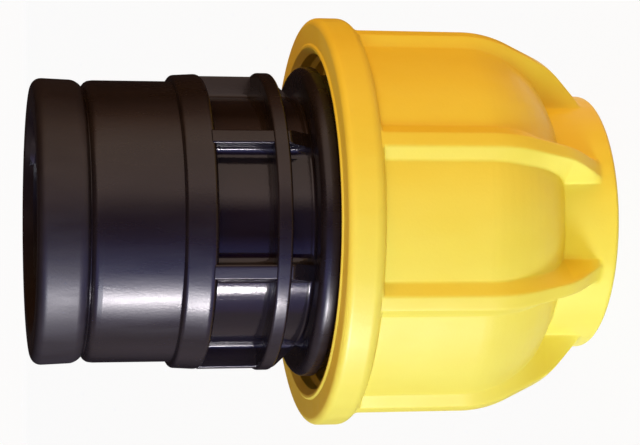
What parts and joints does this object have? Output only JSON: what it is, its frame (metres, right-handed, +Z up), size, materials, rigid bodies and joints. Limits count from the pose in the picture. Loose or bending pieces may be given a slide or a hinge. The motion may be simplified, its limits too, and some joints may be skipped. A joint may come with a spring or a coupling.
{
  "type": "female threaded pipe connector",
  "caption": "Plastic compression fitting for water pipe, with a female pipe thread at one end and a ribbed screw-on nut at the other.",
  "frame": {"origin": "centre of the nut's end face, which the fitting stands on", "axes": "+Z up the fitting's axis, from the nut to the female threaded end; -Y towards the side with the middle window, +X to its right"},
  "size_m": [0.0664, 0.0664, 0.0914],
  "materials": {
    "black_body": "semi-gloss moulded black plastic",
    "yellow_nut": "satin moulded yellow plastic",
    "pale_ring": "satin ivory plastic",
    "dark_bush": "matt dark grey plastic",
    "seal_rubber": "smooth black rubber"
  },
  "bodies": {
    "nut": {"compression_nut": "yellow_nut"},
    "grip": {"clinching_ring": "pale_ring"},
    "connector": {"connector_body": "black_body", "thrust_ring": "dark_bush", "sealing_ring": "seal_rubber"}
  },
  "joints": [
    {"name": "nut_turn", "type": "hinge", "parent": "nut", "child": "grip", "pos_m": [0, 0, 0.0122], "axis": [0, 0, 1], "range_deg": [-216, 720]},
    {"name": "nut_travel", "type": "slide", "parent": "grip", "child": "connector", "axis": [0, 0, 1], "range_m": [-0.003, 0.01]}
  ],
  "couplings": [
    {"joint": "nut_travel", "follows": "nut_turn", "m_per_rad": 0.00079577}
  ]
}
